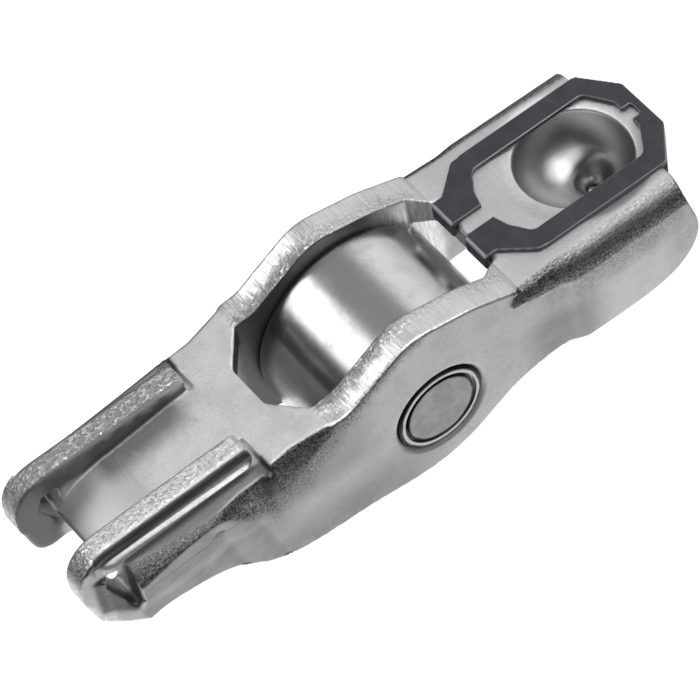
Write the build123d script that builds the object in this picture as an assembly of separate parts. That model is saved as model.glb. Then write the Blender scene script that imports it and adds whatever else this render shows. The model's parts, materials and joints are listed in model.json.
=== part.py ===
from build123d import *
import math
import os

# Roller finger follower, pressed from sheet steel, drawn with its ball socket and valve pad facing up.
# Sizes are in millimetres. Shapes are drawn round the axle's centre, with +X towards the pivot end,
# and every finished piece is then moved so that the origin is the centre of the socket's ball.

# Roller, axle pin and needles
roller_wall = 2.976
roller_width = 9.86
roller_corner = 0.45
axle_radius = 4.0
needle_radius = 0.8
needle_count = 18
needle_running_clearance = 0.012
needle_end_clearance = 0.35
roller_side_clearance = 0.13
stake_groove_radius = 3.3
stake_groove_width = 0.34
stake_groove_depth = 0.35
axle_end_recess = 0.06
axle_edge = 0.12
needle_end_round = 0.24

# Sheet and widths
wall_thickness = 2.6
web_thickness = 2.4
pivot_wall_thickness = 2.6
valve_wall_thickness = 2.2
pivot_wall_swell = 0.75
shoulder_swell = 0.4
valve_wall_step = 0.3
valve_step_start = -20.0
valve_step_end = -16.5
plan_bend_radius = 2.2
bore_chamfer = 0.42

# Pivot end
web_top = 7.25
bend_step_x = 8.75
web_end = 26.8
web_end_half_width = 2.4
web_corner_x = 24.4
web_corner_half_width = 5.6
swell_start = 12.2
swell_end = 13.8
bend_start = 7.6
bend_start_width = 1.0
bend_start_depth = 1.5
bend_middle_width = 1.3
bend_middle_depth = 2.1
bend_swell_width = 1.6
bend_swell_depth = 2.6
bend_end_width = 2.2
bend_end_depth = 2.6
web_inset = 0.3
web_corner_run = 0.6
web_end_round = 1.0
shoulder_top_x = 8.5
shoulder_front_x = 7.75
shoulder_front_z = 6.05
shoulder_middle_z = 5.0
shoulder_back_z = 4.6
socket_x = 20.1
socket_ball_radius = 5.0
ball_rise = 0.995
dish_radius = 6.6
dish_depth = 0.45
oil_pocket_radius = 1.95
oil_pocket_floor_radius = 1.07
oil_pocket_offset = 1.3
oil_pocket_depth = 0.9
oil_hole_radius = 0.4
socket_wall = 2.0

# Raised walls beside the roller
crest_x = -1.5
crest_z = 10.35
crest_round = 4.5
ramp_foot_x = -7.7
ramp_foot_z = 6.95
foot_round = 2.6
fall_mid_x = 4.5
fall_mid_z = 9.05
fall_round = 9.0
fall_foot_z = 7.4

# Lower edge of the walls
chin_x = -30.5
chin_z = -1.6
chin_front_run = 0.85
chin_front_rise = 0.8
chin_back_run = 1.6
chin_back_rise = 0.08
toe_x = -24.5
toe_z = -1.1
toe_length = 2.8
toe_rise = 0.05
breast_x = -20.6
breast_z = -2.0
keel_x = -14.6
keel_z = -5.1
keel_front_run = 2.6
keel_front_z = -4.1
belly_front_x = -7.5
belly_front_z = -5.85
belly_x = -1.2
belly_z = -6.5
belly_back_x = 3.2
belly_back_z = -5.4
neck_front_x = 6.8
neck_front_z = -3.6
neck_x = 11.0
neck_z = -2.8
heel_front_x = 15.6
heel_x = 20.0
heel_z = -2.75
heel_back_x = 24.0
heel_back_z = -1.45
tail_x = 25.5
tail_z = 1.2
tail_upper_x = 25.2
tail_upper_z = 3.4
tail_top_x = 24.6

# Window for the roller
window_clearance = 0.5
window_back_half_width = 3.75
window_back_corner_x = 7.3
window_back_round = 0.7
web_edge_roll = 0.65
window_front_x = -12.0
window_front_half_width = 2.1
window_corner_x = -9.6
window_round = 1.0
inner_step_run = 0.6

# Valve end
valve_web_root_z = 6.85
pad_crease_x = -23.0
pad_crease_z = 5.0
pad_radius = 9.0
pad_sweep = 43.0
pad_half_width = 3.25
pad_side_gap = 0.15
pad_tip_round = 0.5
flange_thickness = 2.1
flange_top_front_z = 7.2
flange_top_back_z = 7.7
flange_back_x = -15.6
flange_back_round = 0.7
flange_root_round = 0.8
flange_undercut = 0.45
flange_undercut_height = 0.3
flange_root_depth = 1.2
flange_root_run = 0.4
groove_overrun = 0.3
nose_x = -32.2
nose_radius = 3.2
nose_bend_z = 2.9
nose_bend_round = 2.0
chin_round = 0.9
ledge_front_x = -28.3
ledge_front_z = 4.85
ledge_back_z = 5.5
ledge_bend_front_width = 1.8
ledge_bend_front_depth = 2.3
ledge_bend_back_width = 0.5
ledge_bend_back_depth = 2.1
relief_slot_width = 0.55
toe_bend_run = 2.4
toe_inner_back = 0.8
toe_inner_front = 1.2
toe_top_drop = 0.5
nose_hole_clearance = 0.1
nose_hole_top_run = 1.3
nose_hole_reach = 1.9
nose_hole_drop = 1.0
nose_hole_low_run = 0.2
nose_hole_low_z = 0.5
nose_hole_back_z = 1.0
nose_hole_round = 0.25
shoulder_bend_width = 1.1
shoulder_bend_depth = 3.3
corner_bend_width = 0.4
corner_bend_depth = 1.0

# Retaining clip
clip_thickness = 0.45
clip_fold_round = 0.42
clip_half_width = 5.8
clip_bar = 1.85
clip_hook_inner_y = 0.8
clip_hook_outer_y = 3.5
clip_neck_length = 0.65
clip_shoulder_x = 13.1
clip_shoulder_run = 0.8
clip_shoulder_drop = 0.1
clip_corner_x = 24.85
clip_end_half_width = 2.6
clip_collar_depth = 1.7
clip_notch_half_width = 0.65
clip_notch_depth = 1.0
clip_leg_depth = 1.65
clip_fit = 0.04
clip_corner_round = 0.8
clip_outer_round = 0.48
clip_opening_x = 11.6
clip_opening_run = 0.4
clip_opening_knee_y = 2.2
clip_opening_shift = 0.7
clip_opening_end_x = 25.6
clip_opening_end_y = 1.6
clip_collar_shift = 0.4
clip_collar_width = 0.4

# Sizes that follow from the ones above
wall_inner = roller_width / 2 + roller_side_clearance
wall_outer = wall_inner + wall_thickness
shoulder_outer = wall_outer + shoulder_swell
pivot_outer = wall_outer + pivot_wall_swell
pivot_inner = pivot_outer - pivot_wall_thickness
valve_inner = wall_outer - valve_wall_thickness
needle_pitch_radius = axle_radius + needle_running_clearance + needle_radius
roller_bore_radius = needle_pitch_radius + needle_radius + needle_running_clearance
roller_radius = roller_bore_radius + roller_wall
web_start = roller_radius + window_clearance
needle_length = roller_width - 2 * needle_end_clearance
flange_inner = pad_half_width + pad_side_gap
flange_outer = flange_inner + flange_thickness
socket_rim_radius = math.sqrt(socket_ball_radius**2 - ball_rise**2)
rim_z = web_top - dish_depth
socket_z = rim_z + ball_rise
valve_web_slope = (valve_web_root_z - pad_crease_z) / (window_corner_x - pad_crease_x)
slot_front_x = flange_back_x + relief_slot_width
clip_top = web_top + clip_thickness
clip_hook_x = web_start
reach = 2 * (web_end - nose_x)
seam = 0.01
bite = 0.1


def web_z(x):
    """Height of the valve end's web at a distance along the lever."""
    return valve_web_root_z + (x - window_corner_x) * valve_web_slope


def side_prism(outline, inner, outer):
    """Extrude an X-Z face over a band of Y on the +Y side."""
    return extrude(Plane.XZ.offset(-inner) * outline, -(outer - inner))


def across(outline, half_width):
    """Extrude an X-Z face to both sides of the middle."""
    return extrude(Plane.XZ * outline, half_width, both=True)


def span(x_low, x_high):
    """Block that holds everything between two places along the lever."""
    return Pos((x_low + x_high) / 2, 0, 0) * Box(x_high - x_low, reach, reach)


def both_sides(solid):
    """A piece of the +Y side together with its mirror image."""
    return solid + mirror(solid, about=Plane.XZ)


def bend_section(x, half_width, top, width, depth):
    """Section across the lever with elliptically rounded upper corners, used to round the bends.

    It stands a hair outside the flat faces, so that its arcs cross them at a clear angle.
    """
    half_width += seam
    top += seam
    near = EllipticalCenterArc((half_width - width, top - depth), width, depth, 0)
    far = EllipticalCenterArc((width - half_width, top - depth), width, depth, 90)
    sides = Polyline(far @ 1, (-half_width, -reach / 2), (half_width, -reach / 2), near @ 0)
    return Plane.YZ.offset(x) * make_face([near, Line(near @ 1, far @ 0), far, sides])


def round_corner(face, corner, radius):
    """Round the corner of a face that is nearest to a place in its plane."""
    nearest = min(face.vertices(), key=lambda v: math.hypot(v.X - corner[0], v.Y - corner[1]))
    return fillet(nearest, radius)


def wall_plan():
    """Plan of the wall sheet on the +Y side, from the nose to the pivot end."""
    front = nose_x - nose_radius
    corners = [
        (front, flange_outer),
        (ledge_front_x - toe_bend_run, flange_outer),
        (ledge_front_x - bite, wall_outer - valve_wall_step),
        (valve_step_start, wall_outer - valve_wall_step),
        (valve_step_end, wall_outer),
        (swell_start, wall_outer),
        (swell_end, pivot_outer),
        (reach / 2, pivot_outer),
        (reach / 2, pivot_inner),
        (swell_end, pivot_inner),
        (swell_start, wall_inner),
        (window_front_x + inner_step_run, wall_inner),
        (window_front_x - inner_step_run, valve_inner),
        (ledge_front_x + toe_inner_back, valve_inner),
        (ledge_front_x - toe_inner_front, flange_inner),
        (front, flange_inner),
    ]
    face = make_face(Polyline(*corners, close=True))
    for corner in corners[1:7] + corners[9:11]:
        face = round_corner(face, corner, plan_bend_radius)
    return face


def wall_outline():
    """Side view of the walls: raised beside the roller, with a belly below the axle."""
    lower = Spline(
        (chin_x - chin_front_run, chin_z + chin_front_rise),
        (chin_x - chin_front_run / 3, chin_z + chin_front_rise / 4),
        (chin_x + chin_back_run / 4, chin_z),
        (chin_x + chin_back_run, chin_z + chin_back_rise),
        (toe_x - toe_length, toe_z + toe_rise),
        (toe_x, toe_z),
        (breast_x, breast_z),
        (keel_x - keel_front_run, keel_front_z),
        (keel_x, keel_z),
        (belly_front_x, belly_front_z),
        (belly_x, belly_z),
        (belly_back_x, belly_back_z),
        (neck_front_x, neck_front_z),
        (neck_x, neck_z),
        (heel_front_x, heel_z),
        (heel_x, heel_z),
        (heel_back_x, heel_back_z),
        (tail_x, tail_z),
        (tail_upper_x, tail_upper_z),
        (tail_top_x, web_top),
    )
    upper = Polyline(
        (tail_top_x, web_top),
        (bend_step_x, web_top),
        (bend_step_x, fall_foot_z),
        (fall_mid_x, fall_mid_z),
        (crest_x, crest_z),
        (ramp_foot_x, ramp_foot_z),
        (window_corner_x, web_z(window_corner_x)),
        (slot_front_x, web_z(slot_front_x)),
        (slot_front_x, ledge_back_z),
        (ledge_front_x, ledge_front_z),
        (ledge_front_x, ledge_front_z - toe_top_drop),
        (chin_x - chin_front_run, ledge_front_z - toe_top_drop),
        (chin_x - chin_front_run, chin_z + chin_front_rise),
    )
    face = make_face([lower, upper])
    face = round_corner(face, (crest_x, crest_z), crest_round)
    face = round_corner(face, (fall_mid_x, fall_mid_z), fall_round)
    return round_corner(face, (ramp_foot_x, ramp_foot_z), foot_round)


def flange_outline():
    """Side view of a valve guide flange and the nose that it curves down into."""
    corner = (nose_x, flange_top_front_z)
    line = Polyline(
        (flange_back_x, ledge_back_z - flange_root_depth),
        (flange_back_x, flange_top_back_z),
        corner,
        (nose_x, nose_bend_z),
        (chin_x - chin_front_run, chin_z + chin_front_rise),
        (chin_x, chin_z),
        (chin_x + chin_back_run, chin_z + chin_back_rise),
        (ledge_front_x + flange_root_run, chin_z + flange_root_run),
        (ledge_front_x + flange_root_run, ledge_front_z - flange_root_depth),
        close=True,
    )
    face = round_corner(make_face(line), corner, nose_radius)
    face = round_corner(face, (flange_back_x, flange_top_back_z), flange_back_round)
    face = round_corner(face, (chin_x, chin_z), chin_round)
    return round_corner(face, (nose_x, nose_bend_z), nose_bend_round)


def flange_groove():
    """Groove under the rounded lower edge of a flange, along the ledge on the +Y side."""
    root_y = flange_outer - flange_undercut
    ceiling = ledge_front_z + flange_undercut_height
    start = (flange_outer, ceiling + flange_root_round)
    middle_y = flange_outer - flange_root_round * (1 - math.cos(math.pi / 4))
    middle = (middle_y, ceiling + flange_root_round * (1 - math.sin(math.pi / 4)))
    end = (flange_outer - flange_root_round, ceiling)
    edge = ThreePointArc(start, middle, end)
    rest = Polyline(
        end,
        (root_y - flange_root_round, ceiling),
        (root_y - flange_root_round, ledge_front_z),
        (flange_outer + groove_overrun, ledge_front_z),
        (flange_outer + groove_overrun, ceiling + flange_root_round),
        start,
    )
    length = flange_back_x + groove_overrun - ledge_front_x
    rise = (ledge_back_z - ledge_front_z) * length / (slot_front_x - ledge_front_x)
    face = Plane.YZ.offset(ledge_front_x) * make_face([edge, rest])
    return extrude(face, math.hypot(length, rise), dir=(length, 0, rise))


def nose_hole_outline():
    """Side view of the opening between the nose, the flange and the front of the ledge."""
    line = Polyline(
        (ledge_front_x + nose_hole_clearance, ledge_front_z + bite),
        (ledge_front_x - nose_hole_top_run, ledge_front_z + bite),
        (ledge_front_x - nose_hole_reach, ledge_front_z - nose_hole_drop),
        (ledge_front_x - nose_hole_low_run, nose_hole_low_z),
        (ledge_front_x + nose_hole_clearance, nose_hole_back_z),
        close=True,
    )
    return fillet(make_face(line).vertices(), nose_hole_round)


def web_plate(x_low, x_high, z_low, z_high, half_width, thickness):
    """Sloping stretch of the web, given by its upper face at both ends."""
    line = Polyline(
        (x_low, z_low),
        (x_high, z_high),
        (x_high, z_high - thickness),
        (x_low, z_low - thickness),
        close=True,
    )
    return across(make_face(line), half_width)


def valve_pad():
    """Curved tongue that pushes on the valve stem, joined to the web at its crease."""
    centre_z = pad_crease_z - pad_radius
    end_angle = 90 + pad_sweep
    inner_radius = pad_radius - web_thickness
    outer = CenterArc((pad_crease_x, centre_z), pad_radius, 90, pad_sweep)
    inner = CenterArc((pad_crease_x, centre_z), inner_radius, 90, pad_sweep)
    face = make_face([outer, inner, Line(outer @ 0, inner @ 0), Line(outer @ 1, inner @ 1)])
    tip_x = pad_crease_x + pad_radius * math.cos(math.radians(end_angle))
    tip = [v for v in face.vertices() if v.X < tip_x + seam]
    return across(fillet(tip, pad_tip_round), pad_half_width)


def socket_dome():
    """Outside of the drawn socket, below the web, as a ball whose poles point sideways."""
    return Pos(socket_x, 0, socket_z) * Rot(90, 0, 0) * Sphere(socket_ball_radius + socket_wall)


def socket_cavity():
    """Ball seat with its shallow lead-in above and the oil pocket and hole below."""
    floor_z = socket_z - socket_ball_radius
    half_angle = (math.pi / 2 - math.acos(ball_rise / socket_ball_radius)) / 2 + math.pi / 4
    middle = (
        socket_ball_radius * math.cos(half_angle),
        socket_z - socket_ball_radius * math.sin(half_angle),
    )
    seat = ThreePointArc((socket_rim_radius, rim_z), middle, (0, floor_z))
    mouth = Polyline(
        (0, floor_z),
        (0, web_top + bite),
        (dish_radius, web_top + bite),
        (dish_radius, web_top),
    )
    lead_in = Line((dish_radius, web_top), (socket_rim_radius, rim_z))
    bowl = revolve(Plane.XZ * make_face([seat, mouth, lead_in]), Axis.Z)
    pocket_top = math.sqrt(socket_ball_radius**2 - oil_pocket_radius**2)
    pocket_height = pocket_top - socket_ball_radius + oil_pocket_depth
    pocket_z = floor_z - oil_pocket_depth + (pocket_height + 2 * oil_pocket_depth) / 2
    pocket_x = socket_x + oil_pocket_offset
    pocket = Pos(pocket_x, 0, pocket_z) * Cone(
        oil_pocket_floor_radius, oil_pocket_radius, pocket_height + 2 * oil_pocket_depth
    )
    hole = Pos(pocket_x, 0, floor_z) * Cylinder(oil_hole_radius, 4 * socket_wall)
    return Pos(socket_x, 0, 0) * bowl + pocket + hole


def window_plan():
    """Plan of the roller window, with oblique corners at both ends."""
    line = Polyline(
        (web_start, window_back_half_width),
        (window_back_corner_x, wall_inner),
        (window_corner_x, wall_inner),
        (window_front_x, window_front_half_width),
        (window_front_x, -window_front_half_width),
        (window_corner_x, -wall_inner),
        (window_back_corner_x, -wall_inner),
        (web_start, -window_back_half_width),
        close=True,
    )
    face = make_face(line)
    front = [v for v in face.vertices() if v.X < window_front_x + seam]
    face = fillet(front, window_round)
    back = [v for v in face.vertices() if v.X > web_start - seam]
    return fillet(back, window_back_round)


def window_corner_outline():
    """Side view of the sheet that fills the window's oblique rear corners."""
    line = Polyline(
        (window_back_corner_x - bite, web_top - web_thickness),
        (bend_step_x + bite, web_top - web_thickness),
        (bend_step_x + bite, reach / 2),
        (window_back_corner_x - bite, reach / 2),
        close=True,
    )
    return wall_outline() & make_face(line)


def web_edge_cutter():
    """Cutter that rolls the window's rear edge over where the clip hooks in."""
    centre = (web_start + web_edge_roll, web_top - web_edge_roll)
    arc = CenterArc(centre, web_edge_roll, 90, 90)
    rest = Polyline(
        arc @ 1,
        (web_start - bite, centre[1]),
        (web_start - bite, web_top + bite),
        (centre[0], web_top + bite),
        arc @ 0,
    )
    return across(make_face([arc, rest]), window_back_half_width)


def pivot_web_plan():
    """Plan of the web at the pivot end, with its corners cut back."""
    line = Polyline(
        (bend_step_x, wall_outer - web_inset),
        (swell_end, wall_outer - web_inset),
        (swell_end, pivot_outer),
        (web_corner_x - web_corner_run, pivot_outer),
        (web_corner_x, web_corner_half_width),
        (web_end, web_end_half_width),
        (web_end, -web_end_half_width),
        (web_corner_x, -web_corner_half_width),
        (web_corner_x - web_corner_run, -pivot_outer),
        (swell_end, -pivot_outer),
        (swell_end, web_inset - wall_outer),
        (bend_step_x, web_inset - wall_outer),
        close=True,
    )
    face = make_face(line)
    end = [v for v in face.vertices() if v.X > web_end - seam]
    return fillet(end, web_end_round)


def shoulder_outline():
    """Side view of the band along the bend that stands out from the wall beside the clip's hooks."""
    line = Polyline(
        (shoulder_top_x, web_top),
        (swell_end, web_top),
        (swell_end, shoulder_back_z),
        (swell_start, shoulder_middle_z),
        (shoulder_front_x, shoulder_front_z),
        close=True,
    )
    return make_face(line)


def axle_bore(radius, extra):
    """Hole across both walls, opened out at its outer ends."""
    bore = Rot(90, 0, 0) * Cylinder(radius, reach)
    mouth = Rot(-90, 0, 0) * Cone(radius, radius + extra, extra)
    mouth = Pos(0, wall_outer - extra / 2, 0) * mouth
    return bore + both_sides(mouth)


def lever_body():
    """The one pressed piece: web, walls, window, socket, valve pad and guide flanges."""
    wall_top = -reach / 2
    strip = Pos(0, 0, wall_top) * extrude(wall_plan(), reach)
    walls = both_sides(strip & side_prism(wall_outline(), 0, reach / 2))

    ledge = web_plate(
        ledge_front_x, slot_front_x, ledge_front_z, ledge_back_z, wall_outer, valve_wall_thickness
    )
    tongue_room = Box(2 * reach, 2 * flange_inner, reach)
    front = (walls & span(ledge_front_x, slot_front_x)) + (ledge - tongue_room)
    front_bend = loft(
        [
            bend_section(
                ledge_front_x - seam,
                wall_outer,
                ledge_front_z,
                ledge_bend_front_width,
                ledge_bend_front_depth,
            ),
            bend_section(
                slot_front_x + seam,
                wall_outer,
                ledge_back_z,
                ledge_bend_back_width,
                ledge_bend_back_depth,
            ),
        ],
        ruled=True,
    )
    front = front & front_bend

    root_z = web_z(slot_front_x)
    middle_end_x = window_corner_x + bite
    middle_web = web_plate(
        slot_front_x, middle_end_x, root_z, web_z(middle_end_x), wall_outer, web_thickness
    )
    rear = (walls + middle_web) & span(slot_front_x, window_corner_x)
    rear_bend = loft(
        [
            bend_section(slot_front_x - seam, wall_outer, root_z, shoulder_bend_width, shoulder_bend_depth),
            bend_section(
                window_corner_x + seam,
                wall_outer,
                web_z(window_corner_x),
                corner_bend_width,
                corner_bend_depth,
            ),
        ],
        ruled=True,
    )
    rear = rear & rear_bend

    pivot_web = Pos(0, 0, web_top - web_thickness) * extrude(pivot_web_plan(), web_thickness)
    shoulder = both_sides(side_prism(shoulder_outline(), wall_outer - web_inset, pivot_outer))
    pivot = (walls & span(bend_step_x, reach / 2)) + pivot_web + shoulder
    pivot_bend = loft(
        [
            bend_section(bend_start, shoulder_outer, web_top, bend_start_width, bend_start_depth),
            bend_section(swell_start, shoulder_outer, web_top, bend_middle_width, bend_middle_depth),
            bend_section(swell_end, pivot_outer, web_top, bend_swell_width, bend_swell_depth),
            bend_section(web_end, pivot_outer, web_top, bend_end_width, bend_end_depth),
        ],
        ruled=True,
    )
    pivot = pivot & pivot_bend

    corner = side_prism(window_corner_outline(), window_back_half_width - bite, wall_inner + bite)
    middle = (walls & span(window_corner_x, bend_step_x)) + both_sides(corner)
    toe = walls & span(-reach / 2, ledge_front_x)
    body = middle + rear + front + pivot + toe

    tongue = web_plate(
        pad_crease_x, slot_front_x, pad_crease_z, web_z(slot_front_x), pad_half_width, web_thickness
    )
    body += tongue + valve_pad()
    flange = side_prism(flange_outline(), flange_inner, flange_outer) - flange_groove()
    body += both_sides(flange)
    below_rim = Pos(0, 0, rim_z - reach) * extrude(pivot_web_plan(), reach)
    body += socket_dome() & below_rim

    body -= socket_cavity()
    body -= Pos(0, 0, -reach / 2) * extrude(window_plan(), reach)
    body -= web_edge_cutter()
    body -= both_sides(side_prism(nose_hole_outline(), flange_inner - bite, reach / 2))
    body -= axle_bore(axle_radius, bore_chamfer)
    return body


def axle_pin():
    """Pin through both walls, with a staking groove pressed into each end."""
    length = 2 * (wall_outer - axle_end_recess)
    pin = Cylinder(axle_radius, length)
    pin = chamfer(pin.edges().filter_by(GeomType.CIRCLE), axle_edge)
    groove = Cylinder(stake_groove_radius + stake_groove_width / 2, stake_groove_depth) - Cylinder(
        stake_groove_radius - stake_groove_width / 2, stake_groove_depth
    )
    for end in (-1, 1):
        pin -= Pos(0, 0, end * (length / 2 - stake_groove_depth / 2)) * groove
    return Rot(90, 0, 0) * pin


def roller():
    """Hardened ring that runs on the cam lobe."""
    ring = Cylinder(roller_radius, roller_width)
    ring = fillet(ring.edges().filter_by(GeomType.CIRCLE), roller_corner)
    ring -= Cylinder(roller_bore_radius, 2 * roller_width)
    return Rot(90, 0, 0) * ring


def needle(index):
    """One rolling needle at its place round the axle pin."""
    angle = math.radians(360 / needle_count * index)
    place = Pos(needle_pitch_radius * math.cos(angle), 0, needle_pitch_radius * math.sin(angle))
    bar = Cylinder(needle_radius, needle_length)
    bar = fillet(bar.edges().filter_by(GeomType.CIRCLE), needle_end_round)
    return place * Rot(90, 0, 0) * bar


def clip_plan():
    """Plan of the clip's frame: an elongated octagon, open between its two hooks."""
    half = [
        (clip_hook_x - clip_thickness - clip_fit, clip_hook_outer_y),
        (clip_hook_x + clip_neck_length, clip_hook_outer_y),
        (clip_shoulder_x - clip_shoulder_run, clip_half_width - clip_shoulder_drop),
        (clip_shoulder_x, clip_half_width),
        (clip_corner_x, clip_half_width),
        (web_end + clip_thickness, clip_end_half_width),
    ]
    outline = half + [(x, -y) for x, y in reversed(half)]
    frame = make_face(Polyline(*outline, close=True))
    corners = [v for v in frame.vertices() if v.X > clip_hook_x]
    frame = fillet(corners, clip_outer_round)
    inside_half = [
        (clip_opening_x, clip_hook_inner_y),
        (clip_opening_x + clip_opening_run, clip_opening_knee_y),
        (clip_shoulder_x, clip_half_width - clip_bar),
        (clip_corner_x - clip_opening_shift, clip_half_width - clip_bar),
        (clip_opening_end_x, clip_opening_end_y),
    ]
    inside = inside_half + [(x, -y) for x, y in reversed(inside_half)]
    opening = fillet(make_face(Polyline(*inside, close=True)).vertices(), clip_corner_round)
    slot_length = 2 * (clip_opening_x - clip_hook_x)
    slot = Pos(clip_hook_x, 0) * Rectangle(slot_length + clip_bar, 2 * clip_hook_inner_y)
    notch_x = clip_opening_end_x + clip_notch_depth / 2 - bite
    notch = Pos(notch_x, 0) * Rectangle(clip_notch_depth, 2 * clip_notch_half_width)
    return frame - opening - slot - notch


def retaining_clip():
    """Spring-steel frame that keeps the ball in its socket, hooked into the window."""
    plate = Pos(0, 0, web_top) * extrude(clip_plan(), clip_thickness)
    leg_width = clip_hook_outer_y - clip_hook_inner_y
    leg_y = (clip_hook_outer_y + clip_hook_inner_y) / 2
    leg_x = clip_hook_x - clip_thickness / 2 - clip_fit
    leg = Pos(leg_x, leg_y, clip_top - clip_leg_depth / 2) * Box(clip_thickness, leg_width, clip_leg_depth)
    collar_x = web_corner_x + clip_collar_shift
    collar_plan = [
        (web_end + clip_fit, web_end_half_width),
        (collar_x, web_corner_half_width - clip_collar_shift),
        (collar_x + clip_collar_width, web_corner_half_width - clip_collar_shift / 3),
        (web_end + clip_thickness, clip_end_half_width),
    ]
    end_bar = [(web_end + clip_fit, 0), (web_end + clip_thickness, 0)]
    side = make_face(Polyline(*(collar_plan + [end_bar[1], end_bar[0]]), close=True))
    collar = Pos(0, 0, web_top - clip_collar_depth) * extrude(side, clip_collar_depth + bite)
    clip = plate + both_sides(leg) + both_sides(collar)
    fold_x = leg_x - clip_thickness / 2
    upper = [e for e in clip.edges().filter_by(Axis.Y) if e.center().Z > clip_top - seam]
    folds = [e for e in upper if e.center().X < fold_x + seam]
    return fillet(folds, clip_fold_round)


def nodes():
    """Every piece under its own name, in the finished frame."""
    pieces = {
        "lever_body": lever_body(),
        "axle_pin": axle_pin(),
        "roller": roller(),
        "retaining_clip": retaining_clip(),
    }
    for index in range(needle_count):
        pieces[f"needle_{index + 1:02d}"] = needle(index)
    return pieces


os.makedirs("parts", exist_ok=True)
to_socket = Pos(-socket_x, 0, -socket_z)
for name, piece in nodes().items():
    export_step(to_socket * piece, f"parts/{name}.step")
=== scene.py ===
"""Looks of the roller finger follower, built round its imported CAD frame."""
import json
import logging
import math
from dataclasses import dataclass
from enum import Enum

import bpy
import numpy as np
from mathutils import Matrix, Quaternion, Vector


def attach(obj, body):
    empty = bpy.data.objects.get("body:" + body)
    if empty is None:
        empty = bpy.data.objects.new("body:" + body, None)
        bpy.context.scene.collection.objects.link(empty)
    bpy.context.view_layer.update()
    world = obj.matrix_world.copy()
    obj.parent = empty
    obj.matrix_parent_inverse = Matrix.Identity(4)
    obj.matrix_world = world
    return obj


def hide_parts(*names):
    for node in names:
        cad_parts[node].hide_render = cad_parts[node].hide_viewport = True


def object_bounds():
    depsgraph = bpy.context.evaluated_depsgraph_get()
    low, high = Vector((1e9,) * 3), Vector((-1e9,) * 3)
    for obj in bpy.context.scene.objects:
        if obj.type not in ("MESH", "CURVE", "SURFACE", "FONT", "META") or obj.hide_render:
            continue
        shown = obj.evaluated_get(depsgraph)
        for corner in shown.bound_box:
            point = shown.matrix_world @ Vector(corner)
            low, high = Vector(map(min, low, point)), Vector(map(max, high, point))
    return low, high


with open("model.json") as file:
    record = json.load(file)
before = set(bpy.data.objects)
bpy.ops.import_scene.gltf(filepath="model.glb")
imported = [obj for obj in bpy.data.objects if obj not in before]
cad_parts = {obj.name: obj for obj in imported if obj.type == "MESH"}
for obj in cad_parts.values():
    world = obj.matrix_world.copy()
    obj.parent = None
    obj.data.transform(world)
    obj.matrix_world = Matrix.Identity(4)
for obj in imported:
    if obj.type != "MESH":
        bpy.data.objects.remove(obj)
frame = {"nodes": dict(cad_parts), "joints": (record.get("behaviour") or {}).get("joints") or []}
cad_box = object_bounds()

log = logging.getLogger("follower")
MM = 0.001
LEVER_BODY = "lever"
LEAST_SHARE = 0.02
AXLE = Vector(frame["joints"][0]["pos_m"])


class Mask(Enum):
    """Float attributes on the lever's points that say how the sheet was worked there, and where shade and
    highlights are painted into its colour.
    """

    BEND = "bend"
    DARK = "dark"
    DULL = "painted_soft_shade"
    EDGE = "edge"
    SHEARED = "sheared"
    TORN = "torn"
    BURNISHED = "burnished"
    SOCKET = "socket"


def only(piece: bpy.types.Object) -> None:
    """Make one object the only selected and active one.

    Args:
        piece: The object.
    """
    bpy.ops.object.select_all(action="DESELECT")
    piece.select_set(True)
    bpy.context.view_layer.objects.active = piece


def merged_copy(node: str, name: str) -> bpy.types.Object:
    """Copy a CAD node's mesh into a new object with its loose triangles joined.

    Args:
        node: Name of the CAD node.
        name: Name of the new piece.

    Returns:
        The new object, at the origin, with its place in its mesh.
    """
    mesh = frame["nodes"][node].data.copy()
    mesh.materials.clear()
    piece = bpy.data.objects.new(name, mesh)
    bpy.context.scene.collection.objects.link(piece)
    only(piece)
    bpy.ops.object.mode_set(mode="EDIT")
    bpy.ops.mesh.select_all(action="SELECT")
    bpy.ops.mesh.customdata_custom_splitnormals_clear()
    bpy.ops.mesh.remove_doubles(threshold=1e-6)
    bpy.ops.object.mode_set(mode="OBJECT")
    return piece


def apply_modifier(piece: bpy.types.Object, kind: str, **settings: object) -> None:
    """Add one modifier to a piece, set it and apply it.

    Args:
        piece: The object to change.
        kind: Blender's name of the modifier type.
        settings: Values of the modifier's own properties.
    """
    only(piece)
    modifier = piece.modifiers.new(kind.lower(), kind)
    for key, value in settings.items():
        setattr(modifier, key, value)
    bpy.ops.object.modifier_apply(modifier=modifier.name)


def triangles(piece: bpy.types.Object) -> int:
    """Number of triangles that a piece's faces make."""
    return sum(len(face.vertices) - 2 for face in piece.data.polygons)


def thin_out(piece: bpy.types.Object, limit: int) -> None:
    """Thin a piece out to a number of triangles where it has more, and shade it smooth.

    Args:
        piece: The object to thin out.
        limit: Number of triangles that it may have.
    """
    share = limit / max(triangles(piece), 1)
    if share < 1.0:
        apply_modifier(piece, "DECIMATE", ratio=share)
    only(piece)
    bpy.ops.object.shade_smooth()


def points(piece: bpy.types.Object) -> np.ndarray:
    """Places of a piece's points.

    Args:
        piece: The object to read.

    Returns:
        One row of x, y and z for each point, in millimetres round the axle.
    """
    flat = np.empty(len(piece.data.vertices) * 3)
    piece.data.vertices.foreach_get("co", flat)
    return (flat.reshape(-1, 3) - np.array(AXLE)) / MM


def normals(piece: bpy.types.Object) -> np.ndarray:
    """Normals at a piece's points.

    Args:
        piece: The object to read.

    Returns:
        One row of x, y and z for each point.
    """
    flat = np.empty(len(piece.data.vertices) * 3)
    piece.data.vertices.foreach_get("normal", flat)
    return flat.reshape(-1, 3)


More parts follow.
